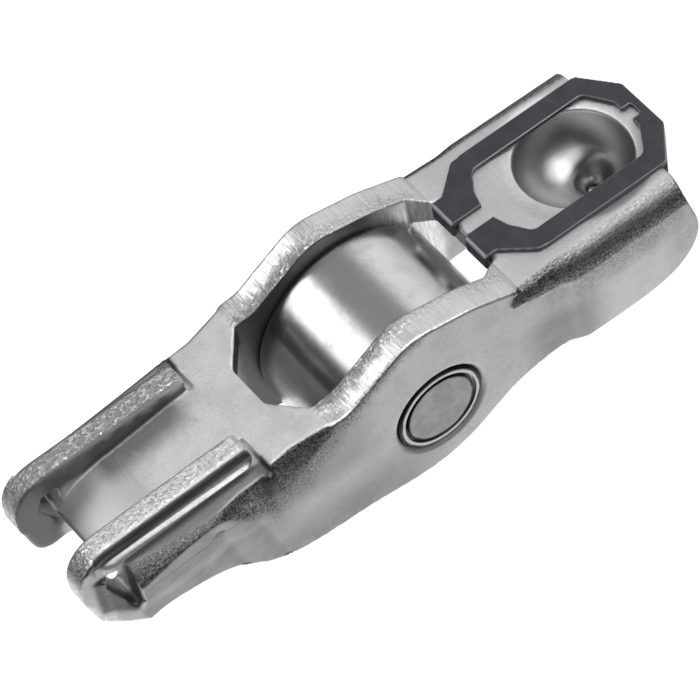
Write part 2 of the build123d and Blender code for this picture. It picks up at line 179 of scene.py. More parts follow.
def place_points(piece: bpy.types.Object, places: np.ndarray) -> None:
    """Put a piece's points at new places.

    Args:
        piece: The object to change.
        places: One row for each point, in millimetres round the axle.
    """
    flat = (places * MM + np.array(AXLE)).ravel()
    piece.data.vertices.foreach_set("co", flat)
    piece.data.update()


def rise(value: np.ndarray, low: float, high: float) -> np.ndarray:
    """Smooth step from 0 at low to 1 at high, or the other way round if low is above high."""
    share = np.clip((value - low) / (high - low), 0.0, 1.0)
    return share * share * (3.0 - 2.0 * share)


def store(piece: bpy.types.Object, mask: Mask, values: np.ndarray) -> None:
    """Keep a mask as a float attribute on the piece's points."""
    attribute = piece.data.attributes.new(mask.value, "FLOAT", "POINT")
    attribute.data.foreach_set("value", np.clip(values, 0.0, 1.0).astype(np.float32))


def soften(piece: bpy.types.Object, share: np.ndarray, rounds: int) -> None:
    """Smooth part of a piece.

    Args:
        piece: The object to smooth.
        share: How strongly each point takes part, from 0 to 1.
        rounds: Number of smoothing rounds.
    """
    group = piece.vertex_groups.new(name="soft")
    for index in np.nonzero(share > LEAST_SHARE)[0]:
        group.add([int(index)], float(share[index]), "REPLACE")
    apply_modifier(piece, "SMOOTH", factor=0.5, iterations=rounds, vertex_group=group.name)
    piece.vertex_groups.clear()


class Shader:
    """Builder of one material's nodes, with coordinates in millimetres."""

    def __init__(self, name: str) -> None:
        """Start a material that holds one Principled shader.

        Args:
            name: Name of the material.
        """
        self.material = bpy.data.materials.new(name)
        self.material.use_nodes = True
        self.tree = self.material.node_tree
        self.surface = self.tree.nodes["Principled BSDF"]
        coordinates = self.tree.nodes.new("ShaderNodeTexCoord")
        mapping = self.tree.nodes.new("ShaderNodeMapping")
        mapping.inputs["Location"].default_value = tuple(-AXLE / MM)
        mapping.inputs["Scale"].default_value = (1 / MM,) * 3
        self.tree.links.new(coordinates.outputs["Object"], mapping.inputs["Vector"])
        self.place = mapping.outputs["Vector"]

    def put(self, socket: bpy.types.NodeSocket, value: object) -> None:
        """Link a socket to another socket, or set its own value.

        Args:
            socket: The input to feed.
            value: An output socket or a plain value.
        """
        if isinstance(value, bpy.types.NodeSocket):
            self.tree.links.new(value, socket)
        else:
            socket.default_value = value

    def math(self, operation: str, a: object, b: object) -> bpy.types.NodeSocket:
        """Combine two numbers with a Math node.

        Args:
            operation: Blender's name of the operation.
            a: First number or socket.
            b: Second number or socket.

        Returns:
            The node's output.
        """
        node = self.tree.nodes.new("ShaderNodeMath")
        node.operation = operation
        self.put(node.inputs[0], a)
        self.put(node.inputs[1], b)
        return node.outputs[0]

    def blend(self, share: object, a: object, b: object) -> bpy.types.NodeSocket:
        """Mix two numbers.

        Args:
            share: Share of the second one, from 0 to 1.
            a: First number or socket.
            b: Second number or socket.

        Returns:
            The mixed number.
        """
        node = self.tree.nodes.new("ShaderNodeMix")
        node.data_type = "FLOAT"
        self.put(node.inputs[0], share)
        self.put(node.inputs[2], a)
        self.put(node.inputs[3], b)
        return node.outputs[0]

    def tint(self, share: object, a: object, b: object) -> bpy.types.NodeSocket:
        """Mix two colours.

        Args:
            share: Share of the second one, from 0 to 1.
            a: First colour or socket.
            b: Second colour or socket.

        Returns:
            The mixed colour.
        """
        node = self.tree.nodes.new("ShaderNodeMix")
        node.data_type = "RGBA"
        self.put(node.inputs[0], share)
        self.put(node.inputs[6], a)
        self.put(node.inputs[7], b)
        return node.outputs[2]

    def stretched(self, scale: tuple[float, float, float]) -> bpy.types.NodeSocket:
        """Stretch the coordinates.

        Args:
            scale: Factor along each axis.

        Returns:
            The stretched coordinates.
        """
        node = self.tree.nodes.new("ShaderNodeVectorMath")
        node.operation = "MULTIPLY"
        self.put(node.inputs[0], self.place)
        self.put(node.inputs[1], scale)
        return node.outputs[0]

    def noise(self, per_mm: float, detail: float = 2.0, roughness: float = 0.5,
              scale: tuple[float, float, float] = (1.0, 1.0, 1.0)) -> bpy.types.NodeSocket:
        """Fractal noise.

        Args:
            per_mm: Number of its blobs in a millimetre.
            detail: Number of finer octaves.
            roughness: Strength of the finer octaves.
            scale: Stretch along each axis.

        Returns:
            The noise's value, about 0.5 on average.
        """
        node = self.tree.nodes.new("ShaderNodeTexNoise")
        node.inputs["Scale"].default_value = per_mm
        node.inputs["Detail"].default_value = detail
        node.inputs["Roughness"].default_value = roughness
        self.put(node.inputs["Vector"], self.stretched(scale))
        return node.outputs["Fac"]

    def contrast(self, value: object, low: float, high: float) -> bpy.types.NodeSocket:
        """Stretch a value between two bounds.

        Args:
            value: The number or socket.
            low: What becomes 0.
            high: What becomes 1.

        Returns:
            The stretched value, from 0 to 1.
        """
        node = self.tree.nodes.new("ShaderNodeMapRange")
        node.interpolation_type = "SMOOTHSTEP"
        self.put(node.inputs["Value"], value)
        node.inputs["From Min"].default_value = low
        node.inputs["From Max"].default_value = high
        return node.outputs["Result"]

    def vary(self, pattern: object, spread: float, middle: float) -> bpy.types.NodeSocket:
        """Let a number swing with a pattern that is 0.5 on average."""
        return self.math("ADD", self.math("MULTIPLY", pattern, spread), middle - spread / 2)

    def mask(self, mask: Mask) -> bpy.types.NodeSocket:
        """Read a mask that is kept on the piece's points.

        Args:
            mask: Which one.

        Returns:
            Its share at each point.
        """
        node = self.tree.nodes.new("ShaderNodeAttribute")
        node.attribute_name = mask.value
        return node.outputs["Fac"]

    def bump(self, height: object, micrometres: float, after: object = None) -> bpy.types.NodeSocket:
        """Relief of a given depth, laid over an earlier one.

        Args:
            height: Relief as a number from 0 to 1.
            micrometres: Depth that 1 stands for.
            after: Normal output of an earlier relief.

        Returns:
            The new normal.
        """
        node = self.tree.nodes.new("ShaderNodeBump")
        node.inputs["Distance"].default_value = micrometres * 1e-6
        self.put(node.inputs["Height"], height)
        if after is not None:
            self.put(node.inputs["Normal"], after)
        return node.outputs["Normal"]

    def axle_distance(self) -> bpy.types.NodeSocket:
        """Distance from the axle's middle line.

        Returns:
            The distance in millimetres.
        """
        node = self.tree.nodes.new("ShaderNodeVectorMath")
        node.operation = "LENGTH"
        self.put(node.inputs[0], self.stretched((1.0, 0.0, 1.0)))
        return node.outputs["Value"]

    def finish(self, **sockets: object) -> bpy.types.Material:
        """Set or link the surface shader's sockets.

        Args:
            sockets: Values by the socket's name, with underscores for spaces.

        Returns:
            The finished material.
        """
        for name, value in sockets.items():
            self.put(self.surface.inputs[name.replace("_", " ")], value)
        return self.material


Colour = tuple[float, float, float, float]


@dataclass(frozen=True)
class TumbledSheet:
    """Pressed and tumbled sheet steel with rough bends, sheared edges and a polished pad, plus painted shade
    and painted highlights laid in by masks.
    """

    plain: Colour = (0.74, 0.735, 0.74, 1.0)
    shaded: Colour = (0.60, 0.60, 0.605, 1.0)
    # painted shade colour for stretches of the outer walls
    painted_soft_shade: Colour = (0.36, 0.375, 0.375, 1.0)
    # painted shade colour for hollows, slots and faces in shade
    dark: Colour = (0.13, 0.135, 0.135, 1.0)
    bend_pit: Colour = (0.075, 0.08, 0.08, 1.0)
    bend_grain: Colour = (0.58, 0.59, 0.59, 1.0)
    cut_low: Colour = (0.66, 0.655, 0.66, 1.0)
    cut_high: Colour = (0.96, 0.95, 0.955, 1.0)
    torn_low: Colour = (0.40, 0.395, 0.395, 1.0)
    # painted highlight colour
    edge: Colour = (0.96, 0.96, 0.96, 1.0)
    pad: Colour = (0.62, 0.61, 0.625, 1.0)
    bowl: Colour = (0.40, 0.40, 0.395, 1.0)
    tumbled_metallic: float = 0.82
    plain_roughness: float = 0.52
    bend_roughness: float = 0.36
    cut_roughness: float = 0.30
    pad_roughness: float = 0.5
    bowl_roughness: float = 0.33
    roughness_spread: float = 0.14
    grain_depth: float = 30.0
    grit_depth: float = 26.0
    stroke_depth: float = 14.0
    crumb_depth: float = 90.0
    hairline_depth: float = 2.0

    def material(self) -> bpy.types.Material:
        """Make the material.

        Returns:
            The material.
        """
        s = Shader("tumbled_sheet_steel")
        bend, sheared, torn = s.mask(Mask.BEND), s.mask(Mask.SHEARED), s.mask(Mask.TORN)
        pad, bowl = s.mask(Mask.BURNISHED), s.mask(Mask.SOCKET)
        dark, painted_soft_shade, edge = s.mask(Mask.DARK), s.mask(Mask.DULL), s.mask(Mask.EDGE)
        clouds = s.contrast(s.noise(0.38, 4.0, 0.6), 0.38, 0.68)
        grain = s.noise(5.2, 3.0, 0.65)
        grit = s.contrast(s.noise(5.5, 3.0, 0.7), 0.34, 0.72)
        strokes = s.contrast(s.noise(1.0, 3.0, 0.65, (6.5, 0.3, 0.6)), 0.36, 0.64)
        crumbs = s.contrast(s.noise(2.8, 4.0, 0.7), 0.36, 0.64)
        hairlines = s.contrast(s.noise(1.0, 2.0, 0.6, (0.5, 14.0, 0.5)), 0.3, 0.7)
        smooth = s.math("MAXIMUM", pad, bowl)

        speckle = s.math("MULTIPLY", clouds, 0.6)
        speckle = s.math("ADD", speckle, s.math("MULTIPLY", s.contrast(grain, 0.35, 0.65), 0.55))
        colour = s.tint(speckle, self.plain, self.shaded)
        # painted shade from the soft shade mask, broken up by the clouds
        colour = s.tint(s.math("MULTIPLY", painted_soft_shade, s.math("SUBTRACT", 1.0, s.math("MULTIPLY", clouds, 0.4))),
                        colour, self.painted_soft_shade)
        colour = s.tint(bend, colour, s.tint(grit, self.bend_pit, self.bend_grain))
        cut = s.tint(strokes, self.cut_low, self.cut_high)
        cut = s.tint(torn, cut, s.tint(crumbs, self.torn_low, self.cut_high))
        colour = s.tint(sheared, colour, cut)
        colour = s.tint(pad, colour, self.pad)
        colour = s.tint(bowl, colour, self.bowl)
        # painted shade from the deep shade mask
        colour = s.tint(dark, colour, self.dark)
        # painted highlight from the highlight mask
        colour = s.tint(edge, colour, self.edge)

        roughness = s.vary(grain, self.roughness_spread, self.plain_roughness)
        roughness = s.blend(bend, roughness, self.bend_roughness)
        roughness = s.blend(sheared, roughness, self.cut_roughness)
        roughness = s.blend(pad, roughness, self.pad_roughness)
        roughness = s.blend(bowl, roughness, self.bowl_roughness)

        rubbed_and_highlit = s.math("MULTIPLY", sheared, s.math("SUBTRACT", 1.0, torn))
        fine = s.math("MULTIPLY", grain, s.math("SUBTRACT", 1.0, s.math("MAXIMUM", smooth, rubbed_and_highlit)))
        normal = s.bump(fine, self.grain_depth)
        normal = s.bump(s.math("MULTIPLY", grit, bend), self.grit_depth, normal)
        normal = s.bump(s.math("MULTIPLY", strokes, rubbed_and_highlit), self.stroke_depth, normal)
        normal = s.bump(s.math("MULTIPLY", crumbs, torn), self.crumb_depth, normal)
        normal = s.bump(s.math("MULTIPLY", hairlines, pad), self.hairline_depth, normal)
        bare = s.math("MAXIMUM", s.math("MAXIMUM", bend, smooth), s.math("MAXIMUM", sheared, dark))
        metallic = s.blend(bare, self.tumbled_metallic, 1.0)
        return s.finish(Base_Color=colour, Metallic=metallic, Roughness=roughness, Normal=normal)


@dataclass(frozen=True)
class GroundSteel:
    """Hardened steel ground round the Y axis, with faint rings and smudges."""

    name: str
    light: Colour = (0.66, 0.66, 0.665, 1.0)
    dark: Colour = (0.56, 0.56, 0.56, 1.0)
    roughness: float = 0.24
    rings_per_mm: float = 16.0
    ring_depth: float = 2.0
    ring_scale: tuple[float, float, float] = (0.02, 1.0, 0.02)
    grain_depth: float = 3.0
    smudge_roughness: float = 0.08
    clean_gain: float = 0.02

    def material(self) -> bpy.types.Material:
        """Make the material.

        Returns:
            The material.
        """
        s = Shader(self.name)
        rings = s.noise(self.rings_per_mm, 3.0, 0.6, self.ring_scale)
        smudges = s.contrast(s.noise(0.45, 4.0, 0.6), 0.4, 0.75)
        grain = s.noise(9.0, 2.0)
        smudged = s.math("MULTIPLY", smudges, self.smudge_roughness)
        roughness = s.math("ADD", smudged, self.roughness - self.clean_gain)
        normal = s.bump(rings, self.ring_depth)
        normal = s.bump(grain, self.grain_depth, normal)
        colour = s.tint(smudges, self.light, self.dark)
        return s.finish(Base_Color=colour, Metallic=1.0, Roughness=roughness, Normal=normal)


@dataclass(frozen=True)
class StakedPinSteel:
    """Hard pin end with a mottled middle, a light ring, and painted shade in its pressed groove and along its
    outer seam.
    """

    middle: Colour = (0.30, 0.305, 0.30, 1.0)
    mottled: Colour = (0.40, 0.39, 0.38, 1.0)
    ring: Colour = (0.62, 0.62, 0.62, 1.0)
    seam_shade: Colour = (0.05, 0.055, 0.055, 1.0)
    groove_start: float = 2.95
    groove_end: float = 3.3
    seam_start: float = 3.66
    blend_width: float = 0.14
    wobble: float = 0.3
    roughness: float = 0.42
    roughness_spread: float = 0.12
    grain_depth: float = 14.0

    def material(self) -> bpy.types.Material:
        """Make the material.

        Returns:
            The material.
        """
        s = Shader("staked_pin_steel")
        reach = s.math("ADD", s.axle_distance(), s.vary(s.noise(0.8, 3.0), self.wobble, 0.0))
        mottle = s.contrast(s.noise(1.1, 5.0, 0.65), 0.35, 0.7)
        grain = s.noise(6.0, 3.0, 0.6)
        outside_groove = s.contrast(reach, self.groove_end, self.groove_end + self.blend_width)
        inside_groove = s.contrast(reach, self.groove_start, self.groove_start + self.blend_width)
        seam_shade = s.contrast(reach, self.seam_start, self.seam_start + self.blend_width)
        colour = s.tint(mottle, self.middle, self.mottled)
        # painted shade in the groove and along the outer seam
        colour = s.tint(inside_groove, colour, self.seam_shade)
        colour = s.tint(outside_groove, colour, self.ring)
        colour = s.tint(seam_shade, colour, self.seam_shade)
        return s.finish(Base_Color=colour, Metallic=1.0, Normal=s.bump(grain, self.grain_depth),
                        Roughness=s.vary(grain, self.roughness_spread, self.roughness))


@dataclass(frozen=True)
class BlackSpringSteel:
    """Blackened spring strip with a satin sheen."""

    dark: Colour = (0.04, 0.041, 0.051, 1.0)
    worn: Colour = (0.06, 0.062, 0.074, 1.0)
    # colour of the painted highlight on the clip's upper rounded edges, partly standing for worn bright edges
    rubbed_and_highlit: Colour = (0.42, 0.425, 0.44, 1.0)
    metallic: float = 0.35
    sheen_level: float = 0.8
    roughness: float = 0.32
    roughness_spread: float = 0.16
    grain_depth: float = 9.0

    def material(self) -> bpy.types.Material:
        """Make the material.

        Returns:
            The material.
        """
        s = Shader("black_spring_steel")
        clouds = s.contrast(s.noise(0.6, 5.0, 0.65), 0.35, 0.75)
        grain = s.noise(8.0, 3.0, 0.6)
        roughness = s.vary(grain, self.roughness_spread, self.roughness)
        colour = s.tint(clouds, self.dark, self.worn)
        colour = s.tint(s.mask(Mask.EDGE), colour, self.rubbed_and_highlit)
        return s.finish(Base_Color=colour, Metallic=self.metallic, Roughness=roughness,
                        Specular_IOR_Level=self.sheen_level, Normal=s.bump(grain, self.grain_depth))


@dataclass(frozen=True)
class PaleFloor:
    """Plain matt studio floor."""

    colour: Colour = (0.86, 0.86, 0.86, 1.0)
    roughness: float = 0.85
    specular_level: float = 0.2

    def material(self) -> bpy.types.Material:
        """Make the material.

        Returns:
            The material.
        """
        s = Shader("pale_floor")
        return s.finish(Base_Color=self.colour, Roughness=self.roughness,
                        Specular_IOR_Level=self.specular_level)


@dataclass(frozen=True)
class SheetPoints:
    """The lever's points and normals, split into their parts. Places are in millimetres round the axle."""

    x: np.ndarray
    y: np.ndarray
    z: np.ndarray
    along: np.ndarray
    across: np.ndarray
    up: np.ndarray

    @classmethod
    def of(cls, piece: bpy.types.Object) -> "SheetPoints":
        """Read a piece's points and their normals."""
        return cls(*points(piece).T, *normals(piece).T)

    @property
    def side(self) -> np.ndarray:
        """Distance of each point from the lever's middle plane."""
        return np.abs(self.y)

    @property
    def out(self) -> np.ndarray:
        """How much each point faces away from the lever's middle plane."""
        return np.sign(self.y) * self.across


@dataclass(frozen=True)
class SheetMarks:
    """Shares from 0 to 1 that say how the lever's sheet was worked at each point, and where shade and
    highlights are painted.

    The two numbers of a range are where a share starts and where it is whole. They are places in millimetres
    round the axle, or parts of a point's normal.
    """

    lever: "PressedLever"
    at: SheetPoints
    flat: tuple[float, float] = (0.8, 0.95)
    turning: tuple[float, float] = (0.3, 0.6)
    outer_wall: tuple[float, float] = (6.8, 7.2)
    between_walls: tuple[float, float] = (5.3, 5.0)
    long_wave: tuple[float, float] = (0.22, 1.9)
    short_wave: tuple[float, float] = (0.13, 5.1)
    wall_top_bin: float = 0.25
    wall_top_end: float = 12.0

    def wave(self) -> np.ndarray:
        """Gentle unevenness of the bends' lower edge along the lever.

        Returns:
            The height of the wave at each point, in millimetres.
        """
        (long_height, long_rate), (short_height, short_rate) = self.long_wave, self.short_wave
        short = short_height * np.sin(short_rate * self.at.x + 1.0)
        return long_height * np.sin(long_rate * self.at.x) + short

    def wall_face(self) -> np.ndarray:
        """The walls' flat outer faces."""
        return rise(self.at.out, *self.flat) * rise(self.at.side, *self.outer_wall)

    def wall_top_height(self) -> np.ndarray:
        """Height of the walls' top above each point's place along the lever.

        Returns:
            Heights in millimetres, read off the highest points of narrow bins along the lever.
        """
        at = self.at
        on_top = (at.side > 6.2) & (at.side < 7.2) & (at.up > 0.5) & (np.abs(at.x) < self.wall_top_end)
        bins = np.arange(-self.wall_top_end, self.wall_top_end + 0.5, self.wall_top_bin)
        place = np.digitize(at.x[on_top], bins)
        heights = np.array([at.z[on_top][place == index].max(initial=0.0) for index in range(1, len(bins))])
        middles = (bins[:-1] + bins[1:]) / 2
        return np.interp(at.x, middles[heights > 0], heights[heights > 0])

    def raised_wall(self) -> np.ndarray:
        """The stretch of the lever where its walls stand up beside the roller."""
        corner = self.lever.window_corner
        return rise(self.at.x, corner - 0.6, corner + 0.6) * rise(self.at.x, self.lever.web_start, 8.0)

    def wall_top(self) -> np.ndarray:
        """Sheared top of the raised walls, which is rubbed flatter from the crest on.

        Returns:
            The share of cut metal at each point.
        """
        at = self.at
        rubbed_flat = 0.55 * rise(at.x, -3.5, 1.5)
        return self.raised_wall() * rise(at.up, 0.5, 0.75) * rise(at.z, 6.3, 6.8) * (1.0 - rubbed_flat)

    def flange(self) -> np.ndarray:
        """The two guide flanges, over their whole thickness."""
        back = self.lever.flange_back
        return rise(self.at.x, back + 0.6, back) * rise(self.at.side, 3.0, 3.3) * rise(self.at.side, 6.1, 5.8)

    def flange_edge(self) -> tuple[np.ndarray, np.ndarray]:
        """The sheared edge of the guide flanges.

        Returns:
            Its share on their top, and on their nose.
        """
        at = self.at
        top = self.flange() * rise(at.z, 6.3, 6.9) * rise(at.up, 0.45, 0.7) * rise(at.side, 5.25, 4.95)
        nose = rise(at.x, -29.0, -30.0) * self.flange() * rise(-at.along, *self.turning)
        return top, nose

    def scoop(self) -> np.ndarray:
        """The rough hollow on the outer wall where the valve end's bend runs out under the window.

        Returns:
            The share of the hollow.
        """
        at = self.at
        lower = np.interp(at.x, (-16.5, -13.0, -10.0, -8.5), (1.2, 2.2, 4.2, 6.0))
        run = rise(at.x, -17.5, -15.5) * rise(at.x, -7.8, -9.2) * rise(at.side, 6.6, 7.0)
        return run * rise(at.z + self.wave(), lower - 1.9, lower + 0.9) * rise(at.out, *self.turning)

    def pivot_bend(self) -> np.ndarray:
        """The rough bend of the pivot end, brighter where it meets the web, and a soft painted shade on the
        wall under it, drawn in the bend's colours.

        Returns:
            The share of the bend.
        """
        at, wave = self.at, self.wave()
        turned = rise(at.out, 0.08, 0.28) * rise(at.up, 0.0, 0.12)
        bend = rise(at.x, 7.7, 8.2) * rise(at.z + wave, 1.2, 3.6) * rise(at.side + 0.6 * wave, 5.3, 6.3)
        bend = bend * turned
        bright = 0.35 * rise(at.z, 5.4, 6.8) * rise(at.x, 12.0, 15.5)
        # painted shade on the wall below the pivot bend
        shade = rise(at.x, 9.0, 12.0) * rise(at.x, 26.0, 23.5) * rise(at.z + 2.0 * wave, 0.8, 4.6)
        return np.maximum(bend * (1.0 - bright), 0.6 * self.wall_face() * shade)

    def rolled_edge(self) -> np.ndarray:
        """The rough band just under the raised walls' top, which narrows towards the crest.

        Returns:
            The share of the band.
        """
        at = self.at
        width = np.interp(at.x, (-9.5, -6.0, -1.5, 1.5), (2.2, 1.7, 0.8, 0.1))
        run = rise(at.x, -11.0, -9.6) * rise(at.x, 1.5, 0.0) * rise(at.side, 7.0, 7.3)
        return run * rise(at.out, *self.turning) * rise(self.wall_top_height() - at.z, width, 0.55 * width)

    def bent(self, pressed: np.ndarray) -> np.ndarray:
        """All rough bends, with the painted shade on the wall under the pivot bend.

        Args:
            pressed: Share of the valve end's bends, kept from their pressing.

        Returns:
            The share of bend at each point.
        """
        return np.maximum.reduce([pressed, self.pivot_bend(), self.rolled_edge(), 0.9 * self.scoop()])

    def sheared(self) -> np.ndarray:
        """All edges that a die has cut.

        Returns:
            The share of cut metal at each point.
        """
        at = self.at
        flange_top, nose = self.flange_edge()
        underside = rise(-at.up, 0.6, 0.85) * rise(at.z, 1.5, 0.5) * rise(at.side, 3.2, 3.5)
        pivot_end = rise(at.x, 23.5, 24.5) * rise(at.along, 0.4, 0.7) * rise(at.side, 5.0, 5.4)
        window_back = rise(at.x, 10.4, 9.9) * rise(at.x, 8.2, 8.6) * rise(-at.along, 0.6, 0.8)
        window_back = window_back * rise(at.side, *self.between_walls)
        inner_wall = rise(-at.out, 0.45, 0.75) * rise(at.side, 5.5, 5.2)
        inner_wall = inner_wall * rise(at.x, 3.0, 5.5) * rise(at.x, 10.5, 9.5) * rise(at.z, 8.2, 7.4)
        return np.maximum.reduce(
            [self.wall_top(), flange_top, nose, underside, pivot_end, window_back, inner_wall])

    def torn(self) -> np.ndarray:
        """Cut metal that broke away: the walls' inner strip and the flanges, the far one more than the near.

        Returns:
            The share of torn metal at each point.
        """
        wall_inner = self.lever.wall_inner
        inner_strip = rise(self.at.side, wall_inner + 1.1, wall_inner + 0.7)
        roughness = np.where(self.at.y > 0, 0.9, 0.45)
        return np.maximum(self.wall_top() * inner_strip, sum(self.flange_edge()) * roughness)

    def shaded_faces(self) -> list[np.ndarray]:
        """Painted shade on faces between the walls and on the flanges, where shade falls.

        Returns:
            The share of each of them.
        """
        at, lever = self.at, self.lever
        inward, back = rise(-at.out, 0.45, 0.75), lever.flange_back
        window_front = rise(at.x, -12.9, -12.5) * rise(at.x, -8.4, -9.2) * rise(at.along, 0.5, 0.7)
        window_front = window_front * rise(at.side, *self.between_walls)
        behind_roller = inward * rise(at.side, 4.6, 4.9) * rise(at.side, 5.6, 5.3)
        behind_roller = behind_roller * rise(at.x, 5.5, 3.0) * rise(at.x, -11.0, -9.8)
        turned_in = rise(-at.out, 0.15, 0.45) * rise(at.side, 3.0, 3.25) * rise(at.side, 4.4, 3.9)
        flange_inside = rise(at.x, back + 0.6, back) * turned_in * rise(at.z, 7.2, 6.8)
        flange_inside = flange_inside * np.maximum(rise(at.z, 4.2, 5.0), rise(at.x, -28.4, -29.2))
        flange_outside = self.flange() * (np.abs(at.side - lever.flange_outer) < 0.25)
        flange_outside = flange_outside * rise(at.out, 0.4, 0.7)
        flange_outside = flange_outside * rise(at.z - lever.ledge_height(at.x), 1.15, 1.35)
        return [window_front, 0.9 * behind_roller, 0.85 * flange_inside, 0.9 * flange_outside]

    def shaded_hollows(self) -> list[np.ndarray]:
        """Painted shade in ledges, slots and holes, and on the web at the far flange's foot.

        Returns:
            The share of each of them.
        """
        at = self.at
        ledge = rise(at.up, 0.6, 0.85) * rise(at.side, 5.5, 5.8) * rise(at.side, 7.7, 7.4)
        ledge = ledge * rise(at.x, -15.2, -16.5) * rise(at.x, -29.5, -28.5) * rise(at.z, 6.2, 5.9)
        chin_cavity = rise(at.x, -31.4, -30.8) * rise(at.x, -27.6, -28.4) * rise(at.z, 4.9, 4.5)
        chin_cavity = chin_cavity * rise(at.z, 0.0, 0.8) * rise(at.side, 5.3, 5.5) * rise(at.side, 7.25, 6.95)
        from_pocket = np.hypot(at.x - self.lever.pocket_x, at.y)
        oil_hole = np.maximum(rise(from_pocket, 0.9, 0.5), 0.6 * rise(from_pocket, 2.3, 1.6))
        oil_hole = oil_hole * rise(at.z, 4.2, 3.6)
        relief_slot = rise(at.x, -16.4, -15.9) * rise(at.x, -14.7, -15.0)
        relief_slot = relief_slot * rise(at.side, 5.4, 5.7) * rise(at.z, 3.0, 3.6)
        flange_foot = rise(at.up, 0.5, 0.8) * rise(at.y, 0.1, 2.2) * rise(at.side, 3.5, 3.4)
        flange_foot = flange_foot * rise(at.x, -16.2, -17.6) * rise(at.x, -25.5, -24.0)
        return [0.6 * ledge, 0.85 * chin_cavity, oil_hole, 0.85 * relief_slot, 0.75 * flange_foot]

    def deep_painted_shade(self) -> np.ndarray:
        """All painted deep shade, with a little over the scoop."""
        return np.maximum.reduce([*self.shaded_faces(), *self.shaded_hollows(), 0.25 * self.scoop()])

    def soft_painted_shade(self) -> np.ndarray:
        """Painted shade on the outer walls, and a lighter painted shade on the pivot end's web.

        Returns:
            The share of painted shade at each point.
        """
        at, web_start = self.at, self.lever.web_start
        valve_end = 0.9 * rise(at.x, -11.0, -19.0)
        belly = 0.95 * rise(at.z, 0.5, -4.5) * rise(at.x, 2.0, -7.0)
        before_crest = 0.7 * rise(at.x, -5.0, -8.5) * rise(at.z, -1.0, 2.0)
        neck = 0.85 * rise(at.x, 7.5, 10.5) * rise(at.x, 16.0, 13.5) * rise(at.z, 3.0, 1.0)
        pivot_web = rise(at.x, web_start - 0.3, web_start + 2.0) * rise(at.z, 6.9, 7.1)
        pivot_web = pivot_web * rise(at.up, *self.flat)
        on_wall = self.wall_face() * np.maximum.reduce([valve_end, belly, before_crest, neck])
        return np.maximum(on_wall, 0.4 * pivot_web)

    def on_pad(self) -> np.ndarray:
        """The valve pad between the flanges."""
        return rise(self.at.side, 3.3, 3.2) * rise(self.at.x, -22.8, -23.2)

    def from_ball(self) -> np.ndarray:
        """Distance of each point from the centre of the socket's ball, in millimetres."""
        at, lever = self.at, self.lever
        return np.sqrt((at.x - lever.socket_x) ** 2 + at.y ** 2 + (at.z - lever.socket_z) ** 2)

    def rubbed_and_highlit(self) -> np.ndarray:
        """Painted highlights on the window's rim, the walls' outer top edges, the bowl's rim, the heel and
        the pad's front.

        Returns:
            The share of painted highlight at each point.
        """
        at, from_ball = self.at, self.from_ball()
        window_rim = rise(at.up, 0.12, 0.3) * rise(at.up, 0.93, 0.8) * rise(at.along, 0.25, 0.45)
        window_rim = window_rim * rise(at.x, -13.2, -12.9) * rise(at.x, -8.2, -8.8)
        window_rim = window_rim * rise(at.side, 5.3, 5.1) * rise(at.z, 5.9, 6.2)
        outer_edge = self.raised_wall() * rise(at.z, 6.4, 6.9)
        outer_edge = outer_edge * rise(at.out, 0.3, 0.45) * rise(at.out, 0.85, 0.7) * rise(at.up, 0.3, 0.5)
        bowl_rim = rise(from_ball, 4.92, 5.0) * rise(from_ball, 5.25, 5.12)
        bowl_rim = bowl_rim * rise(at.z, 6.5, 6.65) * rise(at.z, 7.0, 6.9)
        heel = self.wall_face() * rise(at.x, 14.5, 17.0) * rise(at.x, 23.5, 21.0) * rise(at.z, 3.0, 1.5)
        pad_front = self.on_pad() * rise(at.x, -26.5, -28.0)
        return np.maximum.reduce(
            [0.8 * window_rim, 0.8 * outer_edge, 0.6 * bowl_rim, 0.4 * heel, 0.5 * pad_front])

    def burnished_pad(self) -> np.ndarray:
        """The valve pad's working face."""
        return self.on_pad() * rise(self.at.up, -0.2, 0.1)

    def burnished_socket(self) -> np.ndarray:
        """The ball socket's bowl and its oil pocket.

        Returns:
            The share of burnished metal at each point.
        """
        at, lever = self.at, self.lever
        bowl = rise(self.from_ball(), lever.socket_radius + 0.35, lever.socket_radius + 0.15)
        bowl = bowl * rise(at.z, 6.85, 6.7)
        pocket = rise(np.hypot(at.x - lever.pocket_x, at.y), 2.3, 2.1) * (at.z > lever.pocket_floor)
        return np.maximum(bowl, pocket * rise(at.z, 4.4, 4.2) * rise(at.up, 0.0, 0.1))


